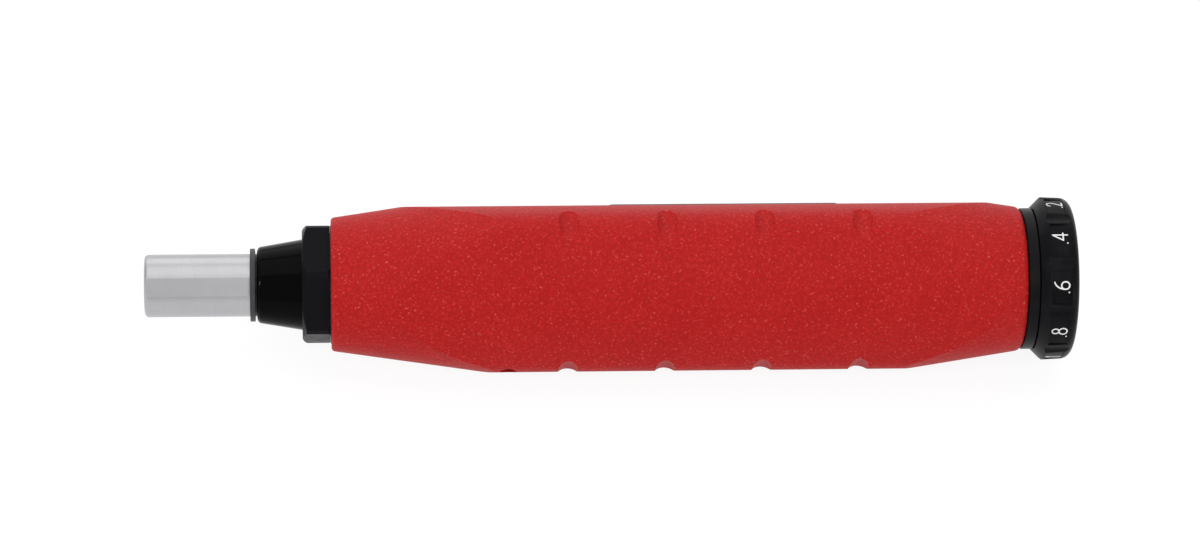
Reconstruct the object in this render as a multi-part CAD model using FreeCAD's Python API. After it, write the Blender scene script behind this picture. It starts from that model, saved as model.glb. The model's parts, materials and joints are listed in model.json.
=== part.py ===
# An adjustable slip-clutch torque screwdriver, as one assembly of separate solids, in millimetres.
#
# The tool lies along X. The origin is on its axis, at the mouth of the bit socket, and +X points to
# the setting knob. Angles round the axis start at the front (-Y) and pass over the top (+Z):
# 0 is front, 90 is up, 180 is back. The tool lies on the flat at -90.

import FreeCAD
import Part
import math
import os

# Clearances
running_gap = 0.04        # radial, between a turning piece and its bearing
sliding_gap = 0.10        # each side, between a sliding piece and its guide
seat_gap = 0.02           # between fixed pieces that are screwed, glued or pressed together
face_gap = 0.10           # axial, between a turning face and a still one

# Shank of the drive shaft, with its socket for 1/4 in hexagon bits
shank_radius = 6.35
shank_length = 21.3
shank_rounding = 0.9
shank_flat_width = 3.75
shank_flat_angle = 45
socket_across_flats = 6.45
socket_depth = 10.5
socket_lead_in = 0.4
magnet_radius = 2.5
magnet_length = 4.0

# Snap ring in front of the nose
snap_ring_width = 1.0
snap_ring_radius = 7.4
snap_ring_depth = 0.6
snap_ring_opening = 2.4
snap_ring_to_nose = 0.4

# Nose with hexagon collar
nose_length = 9.1
nose_front_radius = 7.65
nose_rear_radius = 9.2
nose_rounding = 0.9
collar_across_flats = 22.2
collar_corner_radius = 12.5
collar_width = 5.6
collar_face_radius = 11.0
collar_front_chamfer = 0.85
collar_rear_chamfer = 0.3
collar_corner_angle = 58.0
spigot_length = 8.4
bushing_wall = 1.6
bushing_length = 15.0

# Grip
collar_to_grip = 0.2
grip_length = 140.5
grip_front_radius = 13.5
grip_front_slope = 0.1477
grip_rear_radius = 14.6
grip_rear_slope = 0.154
grip_front_rounding = 0.8
grip_rear_rounding = 1.5
lobe_count = 3
first_crest_angle = 90.0
crest_radius = 18.35
flat_radius = 15.4
crest_rounding = 6.65     # of the lobes, seen from the end
notch_count = 4
notch_pitch = 19.7
notch_cutter_radius = 2.3
notch_depth = 1.3
first_notch = 47.75       # from the front of the grip

# Housing tube inside the grip
tube_radius = 12.0
tube_wall = 1.5

# Scale window, on the flat behind the top crest
window_angle = 150.0
window_land_front = 47.4  # from the front of the grip
window_land_length = 62.7
window_land_radius = 15.03
window_slot_front = 57.6  # from the front of the grip
lens_width = 7.6
lens_corner = 1.4
lens_thickness = 1.65
lens_top_radius = 15.4
lens_edge = 0.25
lens_ledge = 1.4
scale_plate_thickness = 0.5
scale_slot_width = 2.4
slot_corner = 0.5

# Set screw that holds the grip on the tube
set_screw_angle = -30.0
set_screw_station = 35.6  # from the front of the grip
set_screw_radius = 1.7
set_screw_sunk = 1.0
set_screw_socket = 1.7
set_screw_socket_depth = 1.8
set_screw_point_depth = 0.7

# Clutch
thrust_washer_thickness = 1.2
flange_thickness = 3.0
flange_clearance = 0.9    # clearances are radial, to the tube's bore
tooth_count = 3
ramp_angle = 110.0
tooth_height = 1.5
reverse_face_gap = 1.0    # in degrees, between the steep faces
clutch_gap = 0.04         # axial, between the ramps
pilot_radius = 4.6
pilot_length = 5.6
plate_thickness = 4.6
plate_clearance = 0.6
key_radius = 1.0
key_count = 3
key_length = 4.2
seat_washer_thickness = 1.5
seat_washer_bore = 5.6

# Torque spring, nut and adjusting screw
wire_width = 2.6
spring_clearance = 1.0
pilot_clearance = 0.2     # of the nut's pilot inside the spring
spring_turns = 7
screw_lead = 2.0
dial_turns = 20
screw_radius = 5.0
screw_reach = 3.0         # of the thread past the nut, at the highest setting
thrust_collar_clearance = 1.5
thrust_collar_width = 3.0
journal_radius = 4.0
nut_length = 12.0
nut_pilot_length = 3.0
pointer_length = 4.0
pointer_width = 5.2
pointer_foot = 1.6
pointer_end_gap = 0.3

# End plug, with the neck in front of the knob
plug_length = 15.9
neck_length = 2.3
neck_radius = 14.4
neck_chamfer = 0.2
boss_radius = 8.0
boss_length = 2.5
friction_ring_width = 1.4
friction_ring_station = 0.6  # of its front face, from the neck's rear face
friction_ring_depth = 0.7    # of its groove in the boss
friction_ring_height = 1.4

# Setting knob, with ten number pads and ten scallops
knob_length = 7.7
knob_front_radius = 14.7
knob_radius = 16.6
knob_rear_radius = 16.35
knob_chamfer_length = 1.9
knob_rounding = 2.1
knob_shoulder_rounding = 0.3
knob_recess_depth = 2.6
pad_count = 10
pad_depth = 0.3
pad_angle = 24.0
pad_front_margin = 0.15
pad_length = 3.7
scallop_depth = 0.45
scallop_cutter_radius = 3.4
drive_square = 5.6
web_thickness = 2.1
counterbore_radius = 5.6
knob_washer_thickness = 0.7
knob_screw_radius = 1.7
knob_screw_length = 9.0
knob_screw_head_radius = 3.6
knob_screw_head = 1.1
knob_screw_socket = 2.4
knob_screw_socket_depth = 0.7
cap_thickness = 0.9

# Stations along the axis, each worked out from the sizes above
snap_ring_front = shank_length
nose_front = snap_ring_front + snap_ring_width + snap_ring_to_nose
collar_front = nose_front + nose_length
collar_rear = collar_front + collar_width
spigot_rear = collar_rear + spigot_length
grip_front = collar_rear + collar_to_grip
grip_rear = grip_front + grip_length
neck_rear = grip_rear + neck_length
plug_front = grip_rear - plug_length
knob_front = neck_rear + face_gap
knob_rear = knob_front + knob_length
bushing_front = spigot_rear - bushing_length

flange_front = spigot_rear + thrust_washer_thickness + running_gap
tooth_base = flange_front + flange_thickness
plate_face = tooth_base + tooth_height + clutch_gap
plate_rear = plate_face + plate_thickness
spring_front = plate_rear + seat_washer_thickness

nut_travel = screw_lead * dial_turns
slot_front = grip_front + window_slot_front
slot_length = nut_travel + pointer_length + 2 * pointer_end_gap
slot_rear = slot_front + slot_length
slot_middle = slot_front + slot_length / 2
slot_width = pointer_width + 2 * sliding_gap
lens_length = slot_length + 2 * lens_ledge
lens_bottom = lens_top_radius - lens_thickness
scale_plate_bottom = lens_bottom - scale_plate_thickness
pointer_middle = slot_rear - pointer_end_gap - pointer_length / 2
nut_front = pointer_middle - nut_length / 2
nut_rear = nut_front + nut_length
thrust_collar_rear = plug_front - thrust_washer_thickness
thrust_collar_front = thrust_collar_rear - thrust_collar_width
web_front = knob_front + knob_recess_depth
web_rear = web_front + web_thickness

tube_bore = tube_radius - tube_wall
grip_bore = tube_radius + seat_gap
nut_radius = tube_bore - sliding_gap
flange_radius = tube_bore - flange_clearance
plate_radius = tube_bore - plate_clearance
thrust_collar_radius = tube_bore - thrust_collar_clearance
spring_radius = tube_bore - spring_clearance - wire_width / 2
nut_pilot_radius = spring_radius - wire_width / 2 - pilot_clearance
friction_ring_radius = boss_radius - friction_ring_depth + friction_ring_height
overshoot = 1.0           # how far a cutter runs past what it cuts

origin = FreeCAD.Vector(0, 0, 0)
tool_axis = FreeCAD.Vector(1, 0, 0)
up = FreeCAD.Vector(0, 0, 1)


def around(angle, radius, station):
    """A point at an angle round the tool, a radius from its axis and a station along it."""
    turn = math.radians(angle)
    return FreeCAD.Vector(station, -radius * math.cos(turn), radius * math.sin(turn))


def at_angle(shape, angle):
    """A copy of a shape that was made pointing up, turned round the tool to an angle."""
    copy = shape.copy()
    copy.rotate(origin, tool_axis, 90 - angle)
    return copy


def turned(profile):
    """A turned solid from a closed outline of (station, radius) corners."""
    corners = [FreeCAD.Vector(station, radius, 0) for station, radius in profile]
    outline = Part.makePolygon(corners + corners[:1])
    return Part.Face(outline).revolve(origin, tool_axis, 360)


def bar(front, rear, radius):
    """A round bar along the tool's axis."""
    return Part.makeCylinder(radius, rear - front, FreeCAD.Vector(front, 0, 0), tool_axis)


def ring(front, rear, outer, inner):
    """A plain ring or washer."""
    return turned([(front, inner), (front, outer), (rear, outer), (rear, inner)])


def block(front, rear, width, bottom, top):
    """A block that points up from the axis: its length, width, and radial bottom and top."""
    corner = FreeCAD.Vector(front, -width / 2, bottom)
    return Part.makeBox(rear - front, width, top - bottom, corner)


def pill(front, rear, width, bottom, top, corner):
    """A block with its four upright corners rounded."""
    shape = block(front, rear, width, bottom, top)
    upright = [edge for edge in shape.Edges if abs(edge.tangentAt(edge.FirstParameter).z) > 0.99]
    return shape.makeFillet(corner, upright)


def radial_pin(station, radius, bottom, top):
    """A round pin that points up from the axis."""
    return Part.makeCylinder(radius, top - bottom, FreeCAD.Vector(station, 0, bottom), up)


def hexagon(front, rear, across_flats, corner_angle):
    """A hexagon bar along the tool's axis, with a corner at the given angle."""
    corner = across_flats / 2 / math.cos(math.pi / 6)
    corners = [around(corner_angle + 60 * side, corner, front) for side in range(7)]
    return Part.Face(Part.makePolygon(corners)).extrude(tool_axis * (rear - front))


def hexagon_up(station, across_flats, bottom, top):
    """A hexagon bar that points up from the axis."""
    corner = across_flats / 2 / math.cos(math.pi / 6)
    corners = []
    for side in range(7):
        turn = math.radians(60 * side)
        along = station + corner * math.cos(turn)
        corners.append(FreeCAD.Vector(along, corner * math.sin(turn), bottom))
    return Part.Face(Part.makePolygon(corners)).extrude(up * (top - bottom))


def circles(shape, station, radius):
    """The round edges of a shape at a station, with a radius about the tool's axis."""
    found = []
    for edge in shape.Edges:
        if not isinstance(edge.Curve, Part.Circle):
            continue
        off_station = abs(edge.Curve.Center.x - station)
        off_radius = abs(edge.Curve.Radius - radius)
        if off_station < 0.001 and off_radius < 0.001:
            found.append(edge)
    return found


def sector(front, rear, outer, inner, start_angle, sweep_angle):
    """A piece of a ring, from a start angle on through a sweep angle."""
    corners = [
        around(start_angle, inner, front),
        around(start_angle, outer, front),
        around(start_angle, outer, rear),
        around(start_angle, inner, rear),
    ]
    outline = Part.makePolygon(corners + corners[:1])
    return Part.Face(outline).revolve(origin, -tool_axis, sweep_angle)


def ramp(foot, bottom, top, start_angle):
    """A slab whose faces climb in a screw line from station foot, through the ramp angle.

    A radial line turns about the axis while it moves along it, so the faces are true helicoids:
    climb = tooth height * angle / ramp angle. bottom and top are the slab's faces, from that line.
    """
    pitch = tooth_height * 360 / ramp_angle
    inner = pilot_radius / 2
    outer = plate_radius + overshoot
    middle = (outer + inner) / 2
    screw_line = Part.makeHelix(pitch, tooth_height, middle, 0, True)
    corners = [
        FreeCAD.Vector(inner, 0, bottom),
        FreeCAD.Vector(outer, 0, bottom),
        FreeCAD.Vector(outer, 0, top),
        FreeCAD.Vector(inner, 0, top),
    ]
    outline = Part.makePolygon(corners + corners[:1])
    slab = Part.Wire(screw_line.Edges).makePipeShell([outline], True, True)
    slab.rotate(origin, FreeCAD.Vector(1, 1, 1), 120)
    slab.rotate(origin, tool_axis, 180 - start_angle)
    slab.translate(tool_axis * foot)
    return slab


def make_drive_shaft():
    """Shank, journal, flange with three ramp teeth and pilot: one turned and milled piece."""
    groove_radius = shank_radius - snap_ring_depth
    shaft = turned([
        (0, 0),
        (0, shank_radius),
        (snap_ring_front, shank_radius),
        (snap_ring_front, groove_radius),
        (snap_ring_front + snap_ring_width, groove_radius),
        (snap_ring_front + snap_ring_width, shank_radius),
        (flange_front, shank_radius),
        (flange_front, flange_radius),
        (tooth_base, flange_radius),
        (tooth_base, pilot_radius),
        (tooth_base + pilot_length, pilot_radius),
        (tooth_base + pilot_length, 0),
    ])
    shaft = shaft.makeFillet(shank_rounding, circles(shaft, 0, shank_radius))
    flat_distance = math.sqrt(shank_radius ** 2 - (shank_flat_width / 2) ** 2)
    above_flat = block(-overshoot, shank_length, 2 * shank_flat_width, flat_distance,
                       shank_radius + overshoot)
    shaft = shaft.cut(at_angle(above_flat, shank_flat_angle))
    root = tooth_base - overshoot
    crest = tooth_base + tooth_height
    for tooth in range(tooth_count):
        start = first_crest_angle + tooth * 360 / tooth_count
        slab = ramp(tooth_base, -tooth_height, 0, start)
        shaft = shaft.fuse(slab.common(ring(root, crest, flange_radius, pilot_radius - overshoot)))
    mouth = socket_across_flats / 2 / math.cos(math.pi / 6) + socket_lead_in
    lead_in = turned([(0, 0), (0, mouth), (mouth, 0)])
    shaft = shaft.cut(hexagon(-overshoot, socket_depth, socket_across_flats, first_crest_angle))
    shaft = shaft.cut(lead_in)
    magnet_bore = bar(socket_depth - overshoot, socket_depth + magnet_length, magnet_radius + seat_gap)
    return shaft.cut(magnet_bore)


def make_bit_magnet():
    return bar(socket_depth, socket_depth + magnet_length, magnet_radius)


def make_snap_ring():
    """A flat ring with an opening, sprung into the groove of the shank."""
    inner = shank_radius - snap_ring_depth + seat_gap
    whole = ring(snap_ring_front, snap_ring_front + snap_ring_width, snap_ring_radius, inner)
    opening = block(snap_ring_front - overshoot, snap_ring_front + snap_ring_width + overshoot,
                    snap_ring_opening, 0, snap_ring_radius + overshoot)
    return whole.cut(at_angle(opening, window_angle))


def make_nose_collar():
    """Nose cone, hexagon collar and spigot: one turned and milled piece."""
    shaft_bore = shank_radius + sliding_gap
    bushing_bore = shank_radius + running_gap + bushing_wall + seat_gap
    cone = turned([
        (nose_front, 0),
        (nose_front, nose_front_radius),
        (collar_front, nose_rear_radius),
        (collar_front + overshoot, nose_rear_radius),
        (collar_front + overshoot, 0),
    ])
    cone = cone.makeFillet(nose_rounding, circles(cone, nose_front, nose_front_radius))
    envelope = turned([
        (collar_front, 0),
        (collar_front, collar_face_radius),
        (collar_front + collar_front_chamfer, collar_corner_radius),
        (collar_rear - collar_rear_chamfer, collar_corner_radius),
        (collar_rear, collar_corner_radius - collar_rear_chamfer),
        (collar_rear, 0),
    ])
    collar = hexagon(collar_front, collar_rear, collar_across_flats, collar_corner_angle)
    spigot = bar(collar_rear - overshoot, spigot_rear, tube_bore - seat_gap)
    piece = cone.fuse(collar.common(envelope)).fuse(spigot)
    piece = piece.cut(bar(nose_front - overshoot, spigot_rear + overshoot, shaft_bore))
    return piece.cut(bar(bushing_front, spigot_rear + overshoot, bushing_bore))


def make_nose_bushing():
    inner = shank_radius + running_gap
    return ring(bushing_front, spigot_rear, inner + bushing_wall, inner)


def make_front_thrust_washer():
    inner = shank_radius + sliding_gap
    return ring(spigot_rear, spigot_rear + thrust_washer_thickness, flange_radius, inner)


def key_groove(front, rear, gap):
    """The round grooves in which the clutch keys lie, as a cutter or as the keys themselves."""
    return [
        at_angle(Part.makeCylinder(key_radius + gap, rear - front,
                                   FreeCAD.Vector(front, 0, plate_radius), tool_axis),
                 first_crest_angle + key * 360 / key_count)
        for key in range(key_count)
    ]


def make_clutch_plate():
    """The plate whose ramps mesh with those of the shaft's flange, grooved for its keys."""
    land_angle = 360 / tooth_count - ramp_angle - reverse_face_gap
    inner = pilot_radius + running_gap
    plate = ring(plate_face, plate_rear, plate_radius, inner)
    for tooth in range(tooth_count):
        start = first_crest_angle + tooth * 360 / tooth_count
        slab = ramp(tooth_base, clutch_gap, clutch_gap + tooth_height, start)
        limit = ring(tooth_base, plate_face + overshoot, plate_radius, inner)
        land = sector(tooth_base + clutch_gap, plate_face + overshoot,
                      plate_radius, inner, start - land_angle, land_angle)
        plate = plate.fuse(slab.common(limit)).fuse(land)
    for groove in key_groove(plate_face - overshoot, plate_rear + overshoot, seat_gap):
        plate = plate.cut(groove)
    return plate.removeSplitter()


def make_clutch_keys():
    """Dowels, half in the plate's rim and half in the grooves of the tube."""
    front = plate_face + (plate_thickness - key_length) / 2
    return Part.makeCompound(key_groove(front, front + key_length, 0))


def make_spring_seat():
    return ring(plate_rear, spring_front, plate_radius, seat_washer_bore)


def make_torque_spring():
    """A square-wire compression spring with flat-ground ends, at its longest."""
    length = nut_front - spring_front
    screw_line = Part.makeHelix(length / spring_turns, length, spring_radius)
    half = wire_width / 2
    corners = [
        FreeCAD.Vector(spring_radius - half, 0, -half),
        FreeCAD.Vector(spring_radius + half, 0, -half),
        FreeCAD.Vector(spring_radius + half, 0, half),
        FreeCAD.Vector(spring_radius - half, 0, half),
    ]
    section = Part.makePolygon(corners + corners[:1])
    wire = Part.Wire(screw_line.Edges).makePipeShell([section], True, True)
    wire.rotate(origin, FreeCAD.Vector(1, 1, 1), 120)
    wire.translate(tool_axis * spring_front)
    return wire.common(bar(spring_front, nut_front, spring_radius + wire_width))


def make_load_nut():
    """The nut that loads the spring: a pilot inside the spring, and a seat for the pointer."""
    nut = turned([
        (nut_front - nut_pilot_length, screw_radius + running_gap),
        (nut_front - nut_pilot_length, nut_pilot_radius),
        (nut_front, nut_pilot_radius),
        (nut_front, nut_radius),
        (nut_rear, nut_radius),
        (nut_rear, screw_radius + running_gap),
    ])
    foot = block(pointer_middle - pointer_length / 2, pointer_middle + pointer_length / 2,
                 pointer_width, nut_radius - pointer_foot, nut_radius + overshoot)
    return nut.cut(at_angle(foot, window_angle))


def make_nut_pointer():
    """The key block of the nut: it runs in the tube's slot, and its top is the scale's index."""
    top = scale_plate_bottom - sliding_gap
    body = block(pointer_middle - pointer_length / 2, pointer_middle + pointer_length / 2,
                 pointer_width, nut_radius - pointer_foot, top)
    return at_angle(body, window_angle)


def make_scale_plate():
    """A thin slotted plate under the lens, which carries the scale's marks."""
    length = lens_length - 2 * seat_gap
    front = slot_middle - length / 2
    plate = pill(front, front + length, lens_width - 2 * seat_gap,
                 scale_plate_bottom, lens_bottom - seat_gap, lens_corner)
    opening = pill(slot_front, slot_rear, scale_slot_width,
                   scale_plate_bottom - overshoot, lens_bottom + overshoot, slot_corner)
    return at_angle(plate.cut(opening), window_angle)


def make_window_lens():
    """A clear strip with an eased upper edge, set into the pocket of the grip."""
    length = lens_length - 2 * seat_gap
    front = slot_middle - length / 2
    lens = pill(front, front + length, lens_width - 2 * seat_gap,
                lens_bottom, lens_top_radius, lens_corner)
    rim = [edge for edge in lens.Edges if edge.BoundBox.ZMin > lens_top_radius - 0.001]
    return at_angle(lens.makeChamfer(lens_edge, rim), window_angle)


def lobed_section(station):
    """The grip's section: crest arcs and flatter side arcs, each tangent to the next.

    A crest arc's centre lies on its crest's line. A side arc's centre lies beyond the axis,
    opposite its flat, as far out as the two arcs need in order to touch inside.
    """
    step = 360 / lobe_count
    half = math.cos(math.radians(step / 2))
    crest_offset = crest_radius - crest_rounding
    inset = flat_radius - crest_rounding
    side_offset = (crest_offset ** 2 - inset ** 2) / (2 * inset - 2 * half * crest_offset)
    side_arc_radius = side_offset + flat_radius

    def joint(crest_angle, flat_angle):
        side_centre = around(flat_angle, -side_offset, station)
        crest_centre = around(crest_angle, crest_offset, station)
        outward = (crest_centre - side_centre).normalize()
        return side_centre + outward * side_arc_radius

    edges = []
    for lobe in range(lobe_count):
        crest = first_crest_angle + lobe * step
        before = crest - step / 2
        after = crest + step / 2
        crest_arc = Part.Arc(joint(crest, before), around(crest, crest_radius, station),
                             joint(crest, after))
        side_arc = Part.Arc(joint(crest, after), around(after, flat_radius, station),
                            joint(crest + step, after))
        edges += [crest_arc.toShape(), side_arc.toShape()]
    return Part.Face(Part.Wire(edges))


def make_grip():
    """The moulded grip: a lobed bar with cone ends, notched crests and the scale window."""
    clear = crest_radius + overshoot
    envelope = turned([
        (grip_front, 0),
        (grip_front, grip_front_radius),
        (grip_front + (clear - grip_front_radius) / grip_front_slope, clear),
        (grip_rear - (clear - grip_rear_radius) / grip_rear_slope, clear),
        (grip_rear, grip_rear_radius),
        (grip_rear, 0),
    ])
    envelope = envelope.makeFillet(
        grip_front_rounding, circles(envelope, grip_front, grip_front_radius))
    envelope = envelope.makeFillet(
        grip_rear_rounding, circles(envelope, grip_rear, grip_rear_radius))
    grip = lobed_section(grip_front).extrude(tool_axis * grip_length).common(envelope)

    cutters = [bar(grip_front - overshoot, grip_rear + overshoot, grip_bore)]
    for lobe in range(lobe_count):
        for notch in range(notch_count):
            station = grip_front + first_notch + notch * notch_pitch
            centre = crest_radius - notch_depth + notch_cutter_radius
            start = FreeCAD.Vector(station, -crest_radius, centre)
            across = FreeCAD.Vector(0, 1, 0)
            cutter = Part.makeCylinder(notch_cutter_radius, 2 * crest_radius, start, across)
            cutters.append(at_angle(cutter, first_crest_angle + lobe * 360 / lobe_count))

    land_front = grip_front + window_land_front
    land = block(land_front, land_front + window_land_length, 2 * crest_radius,
                 window_land_radius, clear)
    pocket = pill(slot_middle - lens_length / 2, slot_middle + lens_length / 2, lens_width,
                  scale_plate_bottom, clear, lens_corner)
    slot = pill(slot_front, slot_rear, slot_width, 0, clear, slot_corner)
    cutters += [at_angle(cutter, window_angle) for cutter in (land, pocket, slot)]

    hole = radial_pin(grip_front + set_screw_station, set_screw_radius + seat_gap, 0, clear)
    cutters.append(at_angle(hole, set_screw_angle))
    for cutter in cutters:
        grip = grip.cut(cutter)
    return grip


def make_grip_set_screw():
    """A headless socket screw: its point sits in a dimple of the tube."""
    top = crest_radius - set_screw_sunk
    station = grip_front + set_screw_station
    tip = tube_radius - set_screw_point_depth + seat_gap
    screw = radial_pin(station, set_screw_radius, tip, top)
    socket = hexagon_up(station, set_screw_socket, top - set_screw_socket_depth, top + overshoot)
    return at_angle(screw.cut(socket), set_screw_angle)


def make_housing_tube():
    """The tube that carries nose, clutch, spring and end plug."""
    tube = ring(collar_rear + seat_gap, grip_rear, tube_radius, tube_bore)
    slot = pill(slot_front, slot_rear, slot_width, 0, tube_radius + overshoot, slot_corner)
    tube = tube.cut(at_angle(slot, window_angle))
    dimple = radial_pin(grip_front + set_screw_station, set_screw_radius + seat_gap,
                        tube_radius - set_screw_point_depth, tube_radius + overshoot)
    tube = tube.cut(at_angle(dimple, set_screw_angle))
    grooves_rear = plate_rear + tooth_height + overshoot
    for groove in key_groove(collar_rear, grooves_rear, sliding_gap):
        tube = tube.cut(groove)
    return tube


def make_adjusting_screw():
    """Screw with thrust collar, journal and square tail, tapped for the knob's screw."""
    front = nut_front - nut_travel - screw_reach
    screw = turned([
        (front, 0),
        (front, screw_radius),
        (thrust_collar_front, screw_radius),
        (thrust_collar_front, thrust_collar_radius),
        (thrust_collar_rear, thrust_collar_radius),
        (thrust_collar_rear, journal_radius),
        (web_front, journal_radius),
        (web_front, 0),
    ])
    tail = block(web_front - overshoot, web_rear - face_gap, drive_square,
                 -drive_square / 2, drive_square / 2)
    tail = tail.common(bar(web_front - overshoot, web_rear, journal_radius))
    tapping = bar(web_rear - knob_screw_length, web_rear + overshoot, knob_screw_radius)
    return screw.fuse(tail).cut(tapping)


def make_rear_thrust_washer():
    inner = journal_radius + sliding_gap
    return ring(thrust_collar_rear, plug_front, thrust_collar_radius, inner)


def make_end_plug():
    """The plug that closes the tube: its flange is the neck, its boss carries the friction ring."""
    boss_rear = neck_rear + boss_length
    groove = boss_radius - friction_ring_depth
    groove_front = neck_rear + friction_ring_station
    groove_rear = groove_front + friction_ring_width
    bore = journal_radius + running_gap
    plug = turned([
        (plug_front, bore),
        (plug_front, tube_bore - seat_gap),
        (grip_rear, tube_bore - seat_gap),
        (grip_rear, neck_radius),
        (neck_rear, neck_radius),
        (neck_rear, boss_radius),
        (groove_front, boss_radius),
        (groove_front, groove),
        (groove_rear, groove),
        (groove_rear, boss_radius),
        (boss_rear, boss_radius),
        (boss_rear, bore),
    ])
    rims = circles(plug, grip_rear, neck_radius) + circles(plug, neck_rear, neck_radius)
    return plug.makeChamfer(neck_chamfer, rims)


def make_dial_friction_ring():
    """The ring that rubs in the knob's recess and keeps the dial where it is set."""
    front = neck_rear + friction_ring_station
    return ring(front, front + friction_ring_width, friction_ring_radius,
                boss_radius - friction_ring_depth)


def make_dial_knob():
    """The setting knob: number pads sunk in its rim, and a scallop between each two pads."""
    recess = friction_ring_radius + running_gap
    shoulder = knob_front + knob_chamfer_length
    knob = turned([
        (knob_front, 0),
        (knob_front, knob_front_radius),
        (shoulder, knob_radius),
        (knob_rear, knob_rear_radius),
        (knob_rear, 0),
    ])
    knob = knob.makeFillet(knob_rounding, circles(knob, knob_rear, knob_rear_radius))
    knob = knob.makeFillet(knob_shoulder_rounding, circles(knob, shoulder, knob_radius))
    step = 360 / pad_count
    pad_front = shoulder + pad_front_margin
    for pad in range(pad_count):
        angle = window_angle - pad * step
        sunk = sector(pad_front, pad_front + pad_length, knob_radius + overshoot,
                      knob_radius - pad_depth, angle - pad_angle / 2, pad_angle)
        knob = knob.cut(sunk)
        centre = knob_radius - scallop_depth + scallop_cutter_radius
        cutter = Part.makeCylinder(scallop_cutter_radius, knob_length + 2 * overshoot,
                                   FreeCAD.Vector(knob_front - overshoot, 0, centre), tool_axis)
        knob = knob.cut(at_angle(cutter, angle + step / 2))
    square = drive_square + 2 * seat_gap
    knob = knob.cut(bar(knob_front - overshoot, web_front, recess))
    knob = knob.cut(block(web_front - overshoot, knob_rear, square, -square / 2, square / 2))
    return knob.cut(bar(web_rear, knob_rear + overshoot, counterbore_radius))


def make_knob_washer():
    return ring(web_rear, web_rear + knob_washer_thickness, knob_screw_head_radius + overshoot,
                knob_screw_radius + seat_gap)


def make_knob_screw():
    """Socket screw with a low head, on the tool's axis."""
    seat = web_rear + knob_washer_thickness
    head_rear = seat + knob_screw_head
    screw = turned([
        (web_rear - knob_screw_length, 0),
        (web_rear - knob_screw_length, knob_screw_radius - seat_gap),
        (seat, knob_screw_radius - seat_gap),
        (seat, knob_screw_head_radius),
        (head_rear, knob_screw_head_radius),
        (head_rear, 0),
    ])
    socket = hexagon(head_rear - knob_screw_socket_depth, head_rear + overshoot,
                     knob_screw_socket, first_crest_angle)
    return screw.cut(socket)


def make_knob_cap():
    return bar(knob_rear - cap_thickness, knob_rear, counterbore_radius - seat_gap)


pieces = {
    "grip": make_grip,
    "housing_tube": make_housing_tube,
    "window_lens": make_window_lens,
    "scale_plate": make_scale_plate,
    "grip_set_screw": make_grip_set_screw,
    "nose_collar": make_nose_collar,
    "nose_bushing": make_nose_bushing,
    "front_thrust_washer": make_front_thrust_washer,
    "drive_shaft": make_drive_shaft,
    "snap_ring": make_snap_ring,
    "bit_magnet": make_bit_magnet,
    "clutch_plate": make_clutch_plate,
    "clutch_keys": make_clutch_keys,
    "spring_seat": make_spring_seat,
    "torque_spring": make_torque_spring,
    "load_nut": make_load_nut,
    "nut_pointer": make_nut_pointer,
    "adjusting_screw": make_adjusting_screw,
    "rear_thrust_washer": make_rear_thrust_washer,
    "end_plug": make_end_plug,
    "dial_friction_ring": make_dial_friction_ring,
    "dial_knob": make_dial_knob,
    "knob_washer": make_knob_washer,
    "knob_screw": make_knob_screw,
    "knob_cap": make_knob_cap,
}

os.makedirs("parts", exist_ok=True)
for name, make_piece in pieces.items():
    make_piece().exportStep("parts/" + name + ".step")
    print("made", name)
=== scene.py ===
import json
from math import cos, pi, radians, sin

import bmesh
import bpy
import numpy as np
from mathutils import Matrix, Vector

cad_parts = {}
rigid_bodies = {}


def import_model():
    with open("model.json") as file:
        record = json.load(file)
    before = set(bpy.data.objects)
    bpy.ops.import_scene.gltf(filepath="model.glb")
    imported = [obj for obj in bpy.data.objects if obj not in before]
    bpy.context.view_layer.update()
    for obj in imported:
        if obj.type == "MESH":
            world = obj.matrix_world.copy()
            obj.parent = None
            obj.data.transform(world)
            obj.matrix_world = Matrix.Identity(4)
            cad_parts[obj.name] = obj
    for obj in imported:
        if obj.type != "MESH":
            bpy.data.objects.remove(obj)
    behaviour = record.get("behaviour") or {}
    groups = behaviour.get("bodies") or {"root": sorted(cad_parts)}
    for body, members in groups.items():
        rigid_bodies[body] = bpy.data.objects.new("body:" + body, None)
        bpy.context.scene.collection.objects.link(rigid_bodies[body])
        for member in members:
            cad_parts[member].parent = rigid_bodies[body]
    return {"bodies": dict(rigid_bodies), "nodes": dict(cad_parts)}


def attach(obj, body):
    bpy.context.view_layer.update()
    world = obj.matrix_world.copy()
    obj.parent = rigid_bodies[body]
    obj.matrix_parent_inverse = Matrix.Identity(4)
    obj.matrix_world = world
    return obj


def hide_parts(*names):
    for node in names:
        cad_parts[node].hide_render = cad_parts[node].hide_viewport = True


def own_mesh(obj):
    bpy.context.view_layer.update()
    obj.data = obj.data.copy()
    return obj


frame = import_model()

# Torque screwdriver, lying on its side. Metres; the tool's axis is X, the bit socket's mouth is at
# x = 0 and the setting knob is at the far end. Angles round the axis start at the front (-Y), 90 is up.

millimetre = 0.001
windowAngle = 150.0         # degrees round the axis, where the window is and the dial is read
pointerRest = 0.1375        # along the axis, where the pointer stands at zero

# a fresh file's own cube, lamp and camera go
ours = set(frame["nodes"].values()) | set(frame["bodies"].values())
for thing in list(bpy.data.objects):
    if thing not in ours:
        bpy.data.objects.remove(thing)
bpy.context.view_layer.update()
print("stage: frame loaded,", len(frame["nodes"]), "pieces")


# Camera

camera = {
    "distance": 0.946,      # from the axis
    "elevation": 48.6,      # degrees above the front
    "foot": 0.0375,         # along the axis, the point that the camera stands over
    "aim": 0.09223,         # along the axis, the middle of the frame
    "lift": 0.00115,        # of the aim above the axis, in the frame
    "slope": 0.49,          # degrees that the axis climbs to the right
    "lens": 139.75,         # in millimetres, as the sensor's width is
    "sensor": 36.0,
    "clip": (0.05, 50.0),
}


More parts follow.
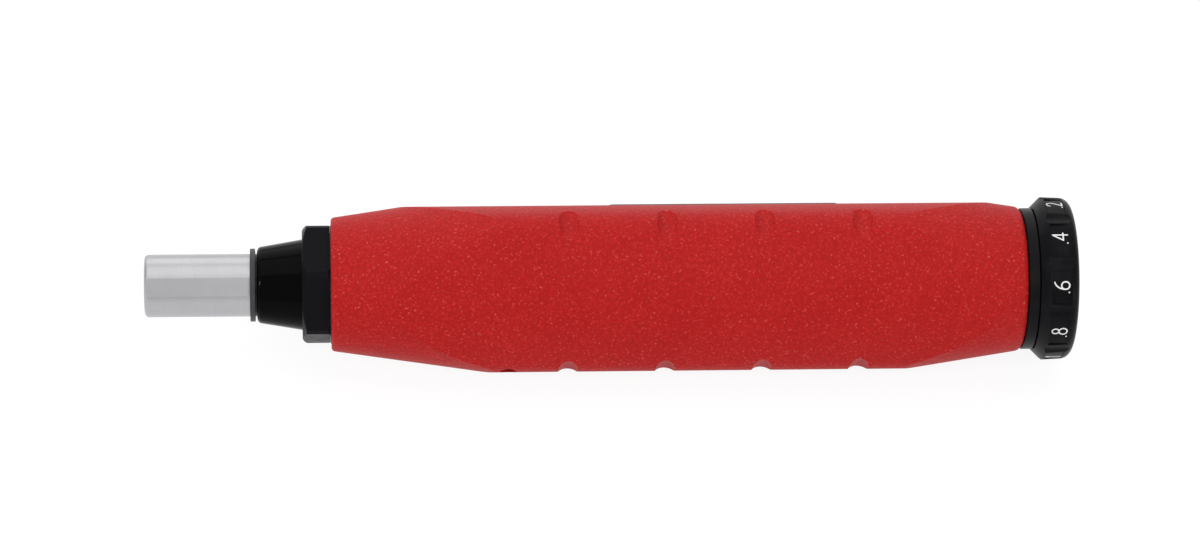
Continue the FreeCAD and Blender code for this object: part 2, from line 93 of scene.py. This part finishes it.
def placeCamera(c):
    # The camera looks at the aim and leans until the axis climbs by the slope. It then looks a little
    # higher, by the lift.
    tilt = radians(c["elevation"])
    eye = Vector((c["foot"], -c["distance"] * cos(tilt), c["distance"] * sin(tilt)))
    target = Vector((c["aim"], 0, 0))
    look = (target - eye).normalized()
    along = (Vector((1, 0, 0)) - look * look.x).normalized()   # the axis as the frame shows it
    across = (-look).cross(along)
    lean = radians(c["slope"])
    up = along * sin(lean) + across * cos(lean)
    look = (target + up * c["lift"] - eye).normalized()
    right = look.cross(up).normalized()
    up = right.cross(look)
    data = bpy.data.cameras.new("camera")
    data.lens = c["lens"]
    data.sensor_width = c["sensor"]
    data.clip_start, data.clip_end = c["clip"]
    made = bpy.data.objects.new("camera", data)
    turn = Matrix((right, up, -look)).transposed().to_4x4()
    made.matrix_world = Matrix.Translation(eye) @ turn
    bpy.context.scene.collection.objects.link(made)
    bpy.context.scene.camera = made


placeCamera(camera)
bpy.context.scene.view_settings.view_transform = "Standard"
print("stage: camera")


# Helpers for materials

def addNode(tree, kind, inputs=None, **settings):
    made = tree.nodes.new(kind)
    for key, value in settings.items():
        setattr(made, key, value)
    for key, value in (inputs or {}).items():
        if isinstance(value, bpy.types.NodeSocket):
            tree.links.new(value, made.inputs[key])
        else:
            made.inputs[key].default_value = value
    return made


def newMaterial(name, colour, **inputs):
    # an empty material with one shader; colours are linear
    made = bpy.data.materials.new(name)
    made.use_nodes = True
    made.diffuse_color = (*colour, 1)
    tree = made.node_tree
    tree.nodes.clear()
    out = addNode(tree, "ShaderNodeOutputMaterial")
    shader = addNode(tree, "ShaderNodeBsdfPrincipled", {"Base Color": (*colour, 1), **inputs})
    tree.links.new(shader.outputs["BSDF"], out.inputs["Surface"])
    return made, tree, shader


def place(tree, stretch=(1, 1, 1), turn=0.0):
    # the piece's own coordinates, turned about the axis and stretched
    where = addNode(tree, "ShaderNodeTexCoord")
    return addNode(tree, "ShaderNodeMapping", {
        "Vector": where.outputs["Object"], "Rotation": (turn, 0, 0), "Scale": stretch}).outputs["Vector"]


def noise(tree, where, size, detail=2.0, rough=0.5):
    # size is the distance between blotches, in metres
    return addNode(tree, "ShaderNodeTexNoise", {
        "Vector": where, "Scale": 1 / size, "Detail": detail, "Roughness": rough}).outputs["Fac"]


def spread(tree, value, low, high, toLow=0.0, toHigh=1.0):
    # a straight rise between two values, clamped at both ends
    return addNode(tree, "ShaderNodeMapRange", {
        "Value": value, "From Min": low, "From Max": high,
        "To Min": toLow, "To Max": toHigh}, clamp=True).outputs["Result"]


def edgeAt(tree, value, at, half=1e-5):
    # 0 before a place and 1 after it, with a short rise between
    return spread(tree, value, at - half, at + half)


def tint(tree, share, first, second):
    # two colours, or colour sockets, mixed by share
    made = addNode(tree, "ShaderNodeMix", {"Factor": share}, data_type="RGBA")
    for key, value in (("A", first), ("B", second)):
        socket = [s for s in made.inputs if s.name == key and s.type == "RGBA"][0]
        if isinstance(value, bpy.types.NodeSocket):
            tree.links.new(value, socket)
        else:
            socket.default_value = (*value, 1)
    return [s for s in made.outputs if s.type == "RGBA"][0]


def sums(tree, operation, first, second=0.0):
    made = addNode(tree, "ShaderNodeMath", operation=operation)
    for socket, value in zip(made.inputs, (first, second)):
        if isinstance(value, bpy.types.NodeSocket):
            tree.links.new(value, socket)
        else:
            socket.default_value = value
    return made.outputs["Value"]


def bump(tree, shader, height, depth, strength):
    made = addNode(tree, "ShaderNodeBump", {"Height": height, "Distance": depth, "Strength": strength})
    tree.links.new(made.outputs["Normal"], shader.inputs["Normal"])


finishes = {}


# Grip: pebbled red coat

gripCoat = {
    "colour": (0.456, 0.0083, 0.0086),
    "cloud": (0.480, 0.0111, 0.0102),       # of broad, slightly lighter patches
    "paintedValleyShade": (0.320, 0.0048, 0.0052),      # painted shade between the pebbles
    "paintedGlint": (0.720, 0.1500, 0.1250),       # of painted glints, bright points on the pebbles' tops
    "gloss": 0.13,
    "roughness": (0.46, 0.60),
    "pebble": 0.00062,      # between pebbles
    "melt": 0.6,            # how far neighbouring pebbles run together
    "pebbleEdge": (0.05, 0.75),             # from a pebble's top to its foot, in cells
    "waves": (0.0012, 0.0005),              # size and reach of the waves that move the pebbles about
    "grain": 0.00021,       # of the fine grit on them
    "swell": 0.0021,        # of the slow rise and fall under them
    "cloudSize": 0.014,
    "paintedGlintSize": 0.00047,
    "paintedValleyShadeShare": 0.55,
    "paintedGlintShare": 0.75,
    "heights": (0.62, 0.38, 0.50),          # shares of pebbles, grit and swell
    "height": 0.000085,
}


def paintGrip(s):
    # Pebbles are smooth cells in a space that waves bend, so that they don't line up. Their height
    # gets grit and a slow swell. The colour has painted shade between them and painted glints on their tops.
    made, tree, shader = newMaterial("gripCoat", s["colour"], **{"Specular IOR Level": s["gloss"]})
    where = place(tree)
    waveSize, waveReach = s["waves"]
    waves = addNode(tree, "ShaderNodeTexNoise", {"Vector": where, "Scale": 1 / waveSize, "Detail": 1.0})
    shift = addNode(tree, "ShaderNodeVectorMath", {
        0: waves.outputs["Color"], "Scale": waveReach}, operation="SCALE")
    bent = addNode(tree, "ShaderNodeVectorMath", {0: where, 1: shift.outputs["Vector"]}, operation="ADD")
    cells = addNode(tree, "ShaderNodeTexVoronoi", {
        "Vector": bent.outputs["Vector"], "Scale": 1 / s["pebble"], "Smoothness": s["melt"]},
        feature="SMOOTH_F1")
    pebbles = spread(tree, cells.outputs["Distance"], *s["pebbleEdge"], 1.0, 0.0)
    grit = noise(tree, where, s["grain"], detail=3.0, rough=0.6)
    swell = noise(tree, where, s["swell"])
    pebbleShare, gritShare, swellShare = s["heights"]
    height = sums(tree, "ADD", sums(tree, "MULTIPLY", pebbles, pebbleShare),
                  sums(tree, "MULTIPLY", grit, gritShare))
    height = sums(tree, "ADD", height, sums(tree, "MULTIPLY", swell, swellShare))
    clouds = spread(tree, noise(tree, where, s["cloudSize"], detail=3.0, rough=0.55), 0.35, 0.68)
    base = tint(tree, clouds, s["colour"], s["cloud"])
    # painted shade: the colour darkens in the valleys between the pebbles
    valleyShading = spread(tree, pebbles, 0.25, 0.75, s["paintedValleyShadeShare"], 0.0)
    base = tint(tree, valleyShading, base, s["paintedValleyShade"])
    # painted glints: bright points on the pebbles' tops, where highlights fall
    paintedGlints = spread(tree, noise(tree, where, s["paintedGlintSize"], rough=0.65), 0.58, 0.72, 0.0, s["paintedGlintShare"])
    base = tint(tree, sums(tree, "MULTIPLY", paintedGlints, pebbles), base, s["paintedGlint"])
    tree.links.new(base, shader.inputs["Base Color"])
    tree.links.new(spread(tree, grit, 0.3, 0.7, *s["roughness"]), shader.inputs["Roughness"])
    bump(tree, shader, height, s["height"], 1.0)
    return made


finishes["gripCoat"] = paintGrip(gripCoat)


# Bright and turned metal

metals = {
    # Colour, roughness low and high, how the tool marks run and their depth. The shaft is painted near
    # black from the rear of its snap ring on, painted shade for the shadowed gap before the nose.
    "shankSteel": {"colour": (0.475, 0.467, 0.485), "rough": (0.27, 0.36), "marks": "turned", "deep": 3e-6,
                   "shadedGapFrom": 0.0213},
    "washerSteel": {"colour": (0.600, 0.600, 0.620), "rough": (0.22, 0.34), "marks": "turned", "deep": 3e-6},
    "tubeSteel": {"colour": (0.600, 0.600, 0.610), "rough": (0.24, 0.38), "marks": "turned", "deep": 4e-6},
    "bronze": {"colour": (0.620, 0.400, 0.190), "rough": (0.26, 0.42), "marks": "turned", "deep": 4e-6},
    "springSteel": {"colour": (0.300, 0.300, 0.320), "rough": (0.22, 0.45), "marks": "drawn", "deep": 3e-6},
    "magnet": {"colour": (0.680, 0.680, 0.690), "rough": (0.12, 0.22), "marks": "plated", "deep": 2e-6},
    "scaleMetal": {"colour": (0.780, 0.780, 0.785), "rough": (0.26, 0.40), "marks": "brushed", "deep": 2e-6},
}
markStretch = {             # blotches per millimetre along x, y and z
    "turned": (9.0, 0.20, 0.20),
    "brushed": (0.12, 8.0, 8.0),
    "drawn": (1.2, 1.2, 1.2),
    "plated": (2.0, 2.0, 2.0),
}
metalWearAndShade = {
    "stain": 0.006,         # between darker patches
    "darker": 0.86,         # of the colour, in patches and tool marks
    "markShare": 0.35,      # of that darker tone in a tool mark
    "stainShare": 0.40,     # and in a patch
    # painted shade for the shaft in the shadowed gap between snap ring and nose
    "gapShade": (0.020, 0.020, 0.021),
    "bump": 0.8,
}


def paintMetal(name, s, wear):
    made, tree, shader = newMaterial(name, s["colour"], Metallic=1.0)
    stretch = tuple(value / millimetre for value in markStretch[s["marks"]])
    marks = noise(tree, place(tree, stretch), 1.0, detail=3.0, rough=0.65)
    stain = noise(tree, place(tree), wear["stain"], detail=3.0, rough=0.6)
    darker = tuple(value * wear["darker"] for value in s["colour"])
    share = sums(tree, "ADD", spread(tree, marks, 0.35, 0.7, 0.0, wear["markShare"]),
                 spread(tree, stain, 0.4, 0.75, 0.0, wear["stainShare"]))
    base = tint(tree, share, s["colour"], darker)
    # painted shade: the shaft turns near black from the snap ring on, for the shadowed gap
    if "shadedGapFrom" in s:
        along = addNode(tree, "ShaderNodeSeparateXYZ", {"Vector": place(tree)}).outputs["X"]
        base = tint(tree, edgeAt(tree, along, s["shadedGapFrom"]), base, wear["gapShade"])
    tree.links.new(base, shader.inputs["Base Color"])
    tree.links.new(spread(tree, marks, 0.3, 0.7, *s["rough"]), shader.inputs["Roughness"])
    bump(tree, shader, marks, s["deep"], wear["bump"])
    return made


for name, look in metals.items():
    finishes[name] = paintMetal(name, look, metalWearAndShade)


# Black, dark and red finishes

darks = {
    # colour, its worn tone, roughness low and high, grain size and depth, gloss level
    "neckBlack": {"colour": (0.0052, 0.0052, 0.0062), "worn": (0.011, 0.011, 0.012), "rough": (0.30, 0.40),
                  "grain": 0.00030, "deep": 4e-6, "gloss": 0.075},
    "knobBlack": {"colour": (0.0042, 0.0042, 0.0054), "worn": (0.012, 0.012, 0.013), "rough": (0.28, 0.40),
                  "grain": 0.00026, "deep": 5e-6, "gloss": 0.060},
    "capBlack": {"colour": (0.0060, 0.0060, 0.0070), "worn": (0.012, 0.012, 0.013), "rough": (0.36, 0.50),
                 "grain": 0.00040, "deep": 8e-6, "gloss": 0.14},
    "ringSteel": {"colour": (0.0330, 0.0325, 0.0360), "worn": (0.062, 0.060, 0.062), "rough": (0.36, 0.52),
                  "grain": 0.00022, "deep": 5e-6, "gloss": 0.30},
    "blackSteel": {"colour": (0.0180, 0.0180, 0.0190), "worn": (0.034, 0.033, 0.032), "rough": (0.30, 0.48),
                   "grain": 0.00030, "deep": 5e-6, "gloss": 0.22},
    "sealRubber": {"colour": (0.0160, 0.0160, 0.0165), "worn": (0.026, 0.026, 0.026), "rough": (0.60, 0.78),
                   "grain": 0.00045, "deep": 1e-5, "gloss": 0.30},
    "pointerRed": {"colour": (0.560, 0.0260, 0.0180), "worn": (0.460, 0.0220, 0.0160), "rough": (0.32, 0.46),
                   "grain": 0.00040, "deep": 4e-6, "gloss": 0.45},
    "markWhite": {"colour": (0.780, 0.780, 0.765), "worn": (0.640, 0.635, 0.615), "rough": (0.45, 0.60),
                  "grain": 0.00030, "deep": 4e-6, "gloss": 0.40},
    "markBlack": {"colour": (0.0140, 0.0140, 0.0145), "worn": (0.030, 0.030, 0.030), "rough": (0.40, 0.55),
                  "grain": 0.00030, "deep": 2e-6, "gloss": 0.40},
}
darkWear = {
    "rub": 0.0045,          # between worn patches
    "rubShare": 0.7,        # of the worn tone in a patch
    "grainShare": 0.6,      # of the grain in the roughness; the rest is wear
    "bump": 0.8,
}


def paintDark(name, s, wear):
    made, tree, shader = newMaterial(name, s["colour"], **{"Specular IOR Level": s["gloss"]})
    where = place(tree)
    grain = noise(tree, where, s["grain"], detail=3.0, rough=0.6)
    rub = noise(tree, where, wear["rub"], detail=4.0, rough=0.62)
    share = spread(tree, rub, 0.50, 0.78, 0.0, wear["rubShare"])
    tree.links.new(tint(tree, share, s["colour"], s["worn"]), shader.inputs["Base Color"])
    mixed = sums(tree, "ADD", sums(tree, "MULTIPLY", grain, wear["grainShare"]),
                 sums(tree, "MULTIPLY", rub, 1 - wear["grainShare"]))
    tree.links.new(spread(tree, mixed, 0.32, 0.66, *s["rough"]), shader.inputs["Roughness"])
    bump(tree, shader, grain, s["deep"], wear["bump"])
    return made


for name, look in darks.items():
    finishes[name] = paintDark(name, look, darkWear)


# Nose: gloss black cone, satin hexagon collar

noseBlack = {
    "colour": (0.0012, 0.0012, 0.0014),
    "collarColour": (0.0060, 0.0060, 0.0078),
    "collarFront": 0.0318,  # along the axis
    "collarEdge": 2e-5,     # half the length over which one finish turns into the other
    "gloss": 0.042,
    "coneRough": (0.07, 0.12),
    "collarRough": (0.30, 0.40),
    "cloud": 0.004,         # between smoother and rougher patches
    "peel": 0.0006,         # between the faint waves of the lacquer
    "peelDeep": 3e-6,
}


def paintNose(s):
    made, tree, shader = newMaterial("noseBlack", s["colour"], **{"Specular IOR Level": s["gloss"]})
    where = place(tree)
    along = addNode(tree, "ShaderNodeSeparateXYZ", {"Vector": where}).outputs["X"]
    onCollar = edgeAt(tree, along, s["collarFront"], s["collarEdge"])
    cloud = noise(tree, where, s["cloud"], detail=3.0, rough=0.6)
    peel = noise(tree, where, s["peel"])
    tree.links.new(tint(tree, onCollar, s["colour"], s["collarColour"]), shader.inputs["Base Color"])
    cone = spread(tree, cloud, 0.3, 0.7, *s["coneRough"])
    collar = spread(tree, cloud, 0.3, 0.7, *s["collarRough"])
    gap = sums(tree, "MULTIPLY", onCollar, sums(tree, "SUBTRACT", collar, cone))
    tree.links.new(sums(tree, "ADD", cone, gap), shader.inputs["Roughness"])
    bump(tree, shader, peel, s["peelDeep"], 0.7)
    return made


finishes["noseBlack"] = paintNose(noseBlack)


# Window: clear strip with a black printed border

windowLens = {
    "turn": radians(windowAngle - 90.0),    # brings the window's own face upward
    "halfWidth": 0.00378,
    "front": 0.09382,       # its ends along the axis
    "rear": 0.14118,
    "border": 0.00062,      # along its sides
    "endBorder": 1.6,       # times that at its ends
    "clear": (0.93, 0.95, 0.95),
    "black": (0.0080, 0.0080, 0.0090),
    "index": 1.49,
    "dust": 0.0007,
    "dustRough": (0.02, 0.14),
    "dustDeep": 1e-6,
}


def paintLens(s):
    made, tree, shader = newMaterial("windowLens", s["clear"], IOR=s["index"])
    parts = addNode(tree, "ShaderNodeSeparateXYZ", {"Vector": place(tree, turn=s["turn"])})
    along, aside = parts.outputs["X"], sums(tree, "ABSOLUTE", parts.outputs["Y"])
    atEnd = s["border"] * s["endBorder"]
    atSide = edgeAt(tree, aside, s["halfWidth"] - s["border"])
    atFront = sums(tree, "SUBTRACT", 1.0, edgeAt(tree, along, s["front"] + atEnd))
    atRear = edgeAt(tree, along, s["rear"] - atEnd)
    border = sums(tree, "MAXIMUM", atSide, sums(tree, "MAXIMUM", atFront, atRear))
    dust = noise(tree, place(tree), s["dust"], detail=3.0, rough=0.6)
    tree.links.new(tint(tree, border, s["clear"], s["black"]), shader.inputs["Base Color"])
    tree.links.new(sums(tree, "SUBTRACT", 1.0, border), shader.inputs["Transmission Weight"])
    tree.links.new(spread(tree, dust, 0.4, 0.8, *s["dustRough"]), shader.inputs["Roughness"])
    bump(tree, shader, dust, s["dustDeep"], 0.5)
    return made


finishes["windowLens"] = paintLens(windowLens)

nodeFinish = {
    "grip": "gripCoat",
    "housing_tube": "blackSteel",
    "window_lens": "windowLens",
    "scale_plate": "scaleMetal",
    "grip_set_screw": "blackSteel",
    "nose_collar": "noseBlack",
    "nose_bushing": "bronze",
    "front_thrust_washer": "washerSteel",
    "drive_shaft": "shankSteel",
    "snap_ring": "ringSteel",
    "bit_magnet": "magnet",
    "clutch_plate": "blackSteel",
    "clutch_keys": "washerSteel",
    "spring_seat": "washerSteel",
    "torque_spring": "springSteel",
    "load_nut": "bronze",
    "nut_pointer": "pointerRed",
    "adjusting_screw": "tubeSteel",
    "rear_thrust_washer": "washerSteel",
    "end_plug": "neckBlack",
    "dial_friction_ring": "sealRubber",
    "dial_knob": "knobBlack",
    "knob_washer": "washerSteel",
    "knob_screw": "blackSteel",
    "knob_cap": "capBlack",
}
for name, finish in nodeFinish.items():
    owner = frame["nodes"][name]
    if not owner.material_slots:
        owner.data.materials.append(None)
    for slot in owner.material_slots:
        slot.material = finishes[finish]
print("stage: materials,", len(finishes))


# Figures and marks

def arc(centre, radii, start, end, count=22):
    # a point turning round the centre, from one angle to the other, in degrees
    turn = np.radians(np.linspace(start, end, count))
    return np.stack([centre[0] + radii[0] * np.cos(turn), centre[1] + radii[1] * np.sin(turn)], 1)


def line(*points, count=9):
    # straight runs through the points, evenly filled
    ends = np.array(points, float)
    share = np.linspace(0, len(ends) - 1, count * (len(ends) - 1) + 1)
    return np.stack([np.interp(share, np.arange(len(ends)), ends[:, k]) for k in (0, 1)], 1)


# Each figure has its width and its strokes in a box 1 high, with the baseline at 0. A stroke is a path
# and a flag that is true where the path closes.
figures = {
    "0": (0.50, [(arc((0.25, 0.5), (0.25, 0.5), 0, 360, 40)[:-1], True)]),
    "1": (0.22, [(line((0.20, 0.0), (0.20, 1.0)), False), (line((0.20, 1.0), (0.02, 0.80)), False)]),
    "2": (0.50, [(np.concatenate([arc((0.25, 0.74), (0.25, 0.26), 165, -28),
                                  line((0.455, 0.58), (0.02, 0.0))[1:]]), False),
                 (line((0.02, 0.0), (0.50, 0.0)), False)]),
    "3": (0.50, [(arc((0.24, 0.76), (0.22, 0.24), 150, -85), False),
                 (arc((0.24, 0.27), (0.26, 0.27), 88, -150), False)]),
    "4": (0.52, [(line((0.40, 0.0), (0.40, 1.0)), False), (line((0.40, 1.0), (0.0, 0.30)), False),
                 (line((0.0, 0.30), (0.54, 0.30)), False)]),
    "6": (0.50, [(arc((0.25, 0.27), (0.25, 0.27), 0, 360, 36)[:-1], True),
                 (arc((0.60, 0.30), (0.59, 0.72), 176, 104), False)]),
    "8": (0.50, [(arc((0.25, 0.27), (0.25, 0.27), 0, 360, 36)[:-1], True),
                 (arc((0.25, 0.77), (0.20, 0.23), 0, 360, 32)[:-1], True)]),
    ".": (0.10, [(line((0.04, 0.02), (0.06, 0.02), count=4), False)]),
}


def strokes(text, height, gap):
    # the text's strokes in metres, centred on its own middle, and each stroke's closed flag
    wide = [figures[c][0] for c in text]
    ends = np.cumsum([0.0] + [w + gap for w in wide])
    middle = (ends[-1] - gap) / 2
    found = []
    for letter, start in zip(text, ends):
        for path, closed in figures[letter][1]:
            found.append(((path + (start - middle, -0.5)) * height, closed))
    return found


roundEnd = np.array([1.0, 0.92, 0.72, 0.38])   # where the rows of an open end stand, in half widths
leastWidth = 0.05           # of the last row, as a share of the stroke's width
domePoints = 8              # across a stroke


def ribbon(path, closed, width, rise, sink):
    # A profile carried along a path: a low dome, half an ellipse over its width, above a flat foot
    # sunk below the surface. At an open end the width falls away as a half circle does.
    # Gives (across, along, up) points and the quads that join them.
    step = np.roll(path, -1, 0) - np.roll(path, 1, 0) if closed else np.gradient(path, axis=0)
    step /= np.linalg.norm(step, axis=1, keepdims=True)
    narrow = np.ones(len(path))
    if not closed:
        cap = roundEnd * width / 2
        more = len(roundEnd)
        shrink = np.sqrt(np.clip(1 - roundEnd ** 2, leastWidth ** 2, 1))
        path = np.concatenate([path[0] - step[0] * cap[:, None], path,
                               path[-1] + step[-1] * cap[::-1, None]])
        step = np.concatenate([np.repeat(step[:1], more, 0), step, np.repeat(step[-1:], more, 0)])
        narrow = np.concatenate([shrink, narrow, shrink[::-1]])
    side = np.stack([-step[:, 1], step[:, 0]], 1)
    around = np.linspace(0, pi, domePoints)
    over = np.concatenate([np.cos(around), [-1.0, 1.0]])
    lift = np.concatenate([rise * np.sin(around), [-sink, -sink]])
    flat = path[:, None, :] + side[:, None, :] * (over[None, :, None] * narrow[:, None, None] * width / 2)
    up = np.broadcast_to(lift[None, :], flat.shape[:2]) * np.where(lift > 0, narrow[:, None], 1.0)
    points = np.concatenate([flat, up[..., None]], 2)
    rows, columns = up.shape
    i = np.arange(rows if closed else rows - 1)[:, None]
    j = np.arange(columns)[None, :]
    near, far = i * columns, (i + 1) % rows * columns
    nextJ = (j + 1) % columns
    quads = np.stack([near + j, near + nextJ, far + nextJ, far + j], -1).reshape(-1, 4)
    return points.reshape(-1, 3), quads


def closeEnds(mesh):
    # open rims get a face, and the faces turn outward
    work = bmesh.new()
    work.from_mesh(mesh)
    rims = [e for e in work.edges if e.is_boundary]
    if rims:
        bmesh.ops.holes_fill(work, edges=rims, sides=0)
    bmesh.ops.recalc_face_normals(work, faces=work.faces)
    work.to_mesh(mesh)
    work.free()


def buildMarks(name, pieces, body, finish):
    # one object of many strokes; pieces is a list of (points, quads) with the points already in place
    shift = np.cumsum([0] + [len(points) for points, quads in pieces])
    points = np.concatenate([p for p, q in pieces])
    quads = np.concatenate([q + start for (p, q), start in zip(pieces, shift)])
    mesh = bpy.data.meshes.new(name)
    mesh.from_pydata(points.tolist(), [], quads.tolist())
    made = bpy.data.objects.new(name, mesh)
    bpy.context.scene.collection.objects.link(made)
    closeEnds(mesh)
    mesh.materials.append(finishes[finish])
    mesh.shade_smooth()
    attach(made, body)


def wrapped(points, radius, middleX, middleAngle):
    # Text laid on a cylinder: across becomes an angle round the axis, up the text runs towards the bit,
    # and height adds to the radius.
    angle = middleAngle + points[:, 0] / radius
    far = radius + points[:, 2]
    return np.stack([middleX - points[:, 1], -far * np.cos(angle), far * np.sin(angle)], 1)


def laid(points, radius, middleX, middleAngle):
    # the same on a flat face that stands square to the radius at that angle
    far = radius + points[:, 2]
    return np.stack([middleX - points[:, 1],
                     -far * cos(middleAngle) + points[:, 0] * sin(middleAngle),
                     far * sin(middleAngle) + points[:, 0] * cos(middleAngle)], 1)


dialFigures = {
    "labels": ["0", ".2", ".4", ".6", ".8", "1", "1.2", "1.4", "1.6", "1.8"],
    "firstAngle": windowAngle,      # of the zero; each next label is a tenth of a turn on
    "radius": 0.0163,       # of the sunk pads
    "middle": 0.18440,      # along the axis
    "height": 0.00305,
    "width": 0.00030,       # of a stroke
    "gap": 0.16,            # between figures, in heights
    "rise": 0.00003,
    "sink": 0.00004,
}


def makeDialFigures(s):
    found = []
    for index, label in enumerate(s["labels"]):
        angle = radians(s["firstAngle"] - index * 360 / len(s["labels"]))
        for path, closed in strokes(label, s["height"], s["gap"]):
            points, quads = ribbon(path, closed, s["width"], s["rise"], s["sink"])
            found.append((wrapped(points, s["radius"], s["middle"], angle), quads))
    buildMarks("dial_figures", found, "dial", "markWhite")


makeDialFigures(dialFigures)

scaleMarks = {
    "angle": radians(windowAngle),
    "radius": 0.01373,      # of the plate's face
    "zero": pointerRest,
    "step": 0.001,          # per unit
    "top": 40,
    "fine": 2,              # units between ticks
    "bold": 10,             # units between long ticks and numbers
    "inner": 0.00138,       # where the ticks start, from the window's middle
    "short": 0.00070,
    "long": 0.00120,
    "tickWidth": 0.00013,
    "figureHeight": 0.00125,
    "figureWidth": 0.00013,
    "figureMiddle": -0.00222,   # of the numbers, from the window's middle
    "figureGap": 0.14,
    "rise": 0.000006,
    "sink": 0.000015,
}


def makeScaleMarks(s):
    found = []
    for unit in range(0, s["top"] + 1, s["fine"]):
        x = s["zero"] - unit * s["step"]
        bold = unit % s["bold"] == 0
        reach = s["long"] if bold else s["short"]
        tick = line((s["inner"], 0), (s["inner"] + reach, 0))
        points, quads = ribbon(tick, False, s["tickWidth"], s["rise"], s["sink"])
        found.append((laid(points, s["radius"], x, s["angle"]), quads))
        if bold:
            for path, closed in strokes(str(unit), s["figureHeight"], s["figureGap"]):
                path = path + (s["figureMiddle"], 0)
                points, quads = ribbon(path, closed, s["figureWidth"], s["rise"], s["sink"])
                found.append((laid(points, s["radius"], x, s["angle"]), quads))
    buildMarks("scale_marks", found, "handle", "markBlack")


makeScaleMarks(scaleMarks)

# The torque spring: a copy of the model's piece with its corners merged, carried by the clutch; it keeps
# its length as the nut comes forward.
springCoil = {
    "anchor": 0.05768,      # its front end along the axis
    "length": 0.07382,
    "travel": 0.040,        # of the nut
    "merge": 1e-7,          # distance below which two corners are one
}


def makeSpringCoil(s):
    mesh = frame["nodes"]["torque_spring"].data.copy()
    work = bmesh.new()
    work.from_mesh(mesh)
    bmesh.ops.remove_doubles(work, verts=work.verts, dist=s["merge"])
    work.to_mesh(mesh)
    work.free()
    made = bpy.data.objects.new("torque_spring_coil", mesh)
    bpy.context.scene.collection.objects.link(made)
    mesh.materials.clear()
    mesh.materials.append(finishes["springSteel"])
    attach(made, "clutch")
    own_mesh(made)
    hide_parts("torque_spring")


makeSpringCoil(springCoil)

pointerLine = {
    "angle": radians(windowAngle),
    "radius": 0.01315,      # of the pointer's face
    "middle": pointerRest,
    "half": 0.00215,        # of the line's length
    "width": 0.00030,
    "rise": 0.00003,
    "sink": 0.00003,
}


def makePointerLine(s):
    path = line((-s["half"], 0), (s["half"], 0))
    points, quads = ribbon(path, False, s["width"], s["rise"], s["sink"])
    placed = laid(points, s["radius"], s["middle"], s["angle"])
    buildMarks("pointer_line", [(placed, quads)], "nut", "markWhite")


makePointerLine(pointerLine)
print("stage: figures and marks")


# Floor and light

floorPlan = {
    "contact": (0.0505, -0.0154),      # x and z where the grip's flat touches
    "slope": -0.00906,                 # along the axis, because the knob's rim stands a little lower
    "reach": 6.0,
    "tone": 0.86,                      # for the light that the floor throws back
    "roughness": 0.9,
    "glow": 0.90,                      # as the eye, gloss and glass see it
    "shade": 0.13,                     # the share of light and shadow left on it
}


def makeFloor(s):
    x = np.array([-1.0, 1.0, 1.0, -1.0]) * s["reach"]
    y = np.array([-1.0, -1.0, 1.0, 1.0]) * s["reach"]
    z = s["contact"][1] + s["slope"] * (x - s["contact"][0])
    mesh = bpy.data.meshes.new("floor")
    mesh.from_pydata(np.stack([x, y, z], 1).tolist(), [], [[0, 1, 2, 3]])
    made = bpy.data.objects.new("floor", mesh)
    bpy.context.scene.collection.objects.link(made)
    paper, tree, shader = newMaterial("floorPaper", (s["tone"],) * 3, **{
        "Roughness": s["roughness"], "Specular IOR Level": 0.0})
    out = [n for n in tree.nodes if n.type == "OUTPUT_MATERIAL"][0]
    ray = addNode(tree, "ShaderNodeLightPath")
    seen = sums(tree, "MAXIMUM", ray.outputs["Is Camera Ray"],
                sums(tree, "MAXIMUM", ray.outputs["Is Glossy Ray"], ray.outputs["Is Transmission Ray"]))
    glow = addNode(tree, "ShaderNodeEmission", {"Color": (1, 1, 1, 1), "Strength": s["glow"]})
    soft = addNode(tree, "ShaderNodeBsdfDiffuse", {"Color": (s["shade"],) * 3 + (1,)})
    both = addNode(tree, "ShaderNodeAddShader", {0: glow.outputs["Emission"], 1: soft.outputs["BSDF"]})
    pick = addNode(tree, "ShaderNodeMixShader", {
        0: seen, 1: shader.outputs["BSDF"], 2: both.outputs["Shader"]})
    tree.links.new(pick.outputs["Shader"], out.inputs["Surface"])
    mesh.materials.append(paper)


makeFloor(floorPlan)

room = {"level": 0.68, "tint": (1.0, 1.0, 1.0)}


def lightRoom(s):
    world = bpy.data.worlds.new("room")
    bpy.context.scene.world = world
    world.use_nodes = True
    tree = world.node_tree
    tree.nodes.clear()
    out = addNode(tree, "ShaderNodeOutputWorld")
    sky = addNode(tree, "ShaderNodeBackground", {"Color": (*s["tint"], 1), "Strength": s["level"]})
    tree.links.new(sky.outputs["Background"], out.inputs["Surface"])


lightRoom(room)

lampTarget = (0.09, 0, 0)
lamps = {
    # where it hangs, its width and height, its brightness as a surface
    "overhead": {"at": (0.09, 0.22, 0.95), "size": (1.5, 0.9), "level": 0.78},
    "behind": {"at": (0.09, 1.10, 0.55), "size": (1.8, 0.8), "level": 0.9},
    "left": {"at": (-0.85, -0.55, 0.75), "size": (0.06, 0.22), "level": 90.0},
    "front": {"at": (0.35, -0.75, 0.95), "size": (0.60, 0.35), "level": 2.0},
    "right": {"at": (1.05, -0.70, 0.20), "size": (0.08, 0.10), "level": 45.0},
}


def hangLamp(name, s):
    data = bpy.data.lights.new(name, "AREA")
    data.shape = "RECTANGLE"
    data.size, data.size_y = s["size"]
    data.energy = s["level"] * pi * s["size"][0] * s["size"][1]
    made = bpy.data.objects.new(name, data)
    at = Vector(s["at"])
    way = Vector(lampTarget) - at
    made.matrix_world = Matrix.Translation(at) @ way.to_track_quat("-Z", "Y").to_matrix().to_4x4()
    bpy.context.scene.collection.objects.link(made)


for name, lamp in lamps.items():
    hangLamp(name, lamp)
print("stage: floor and light")
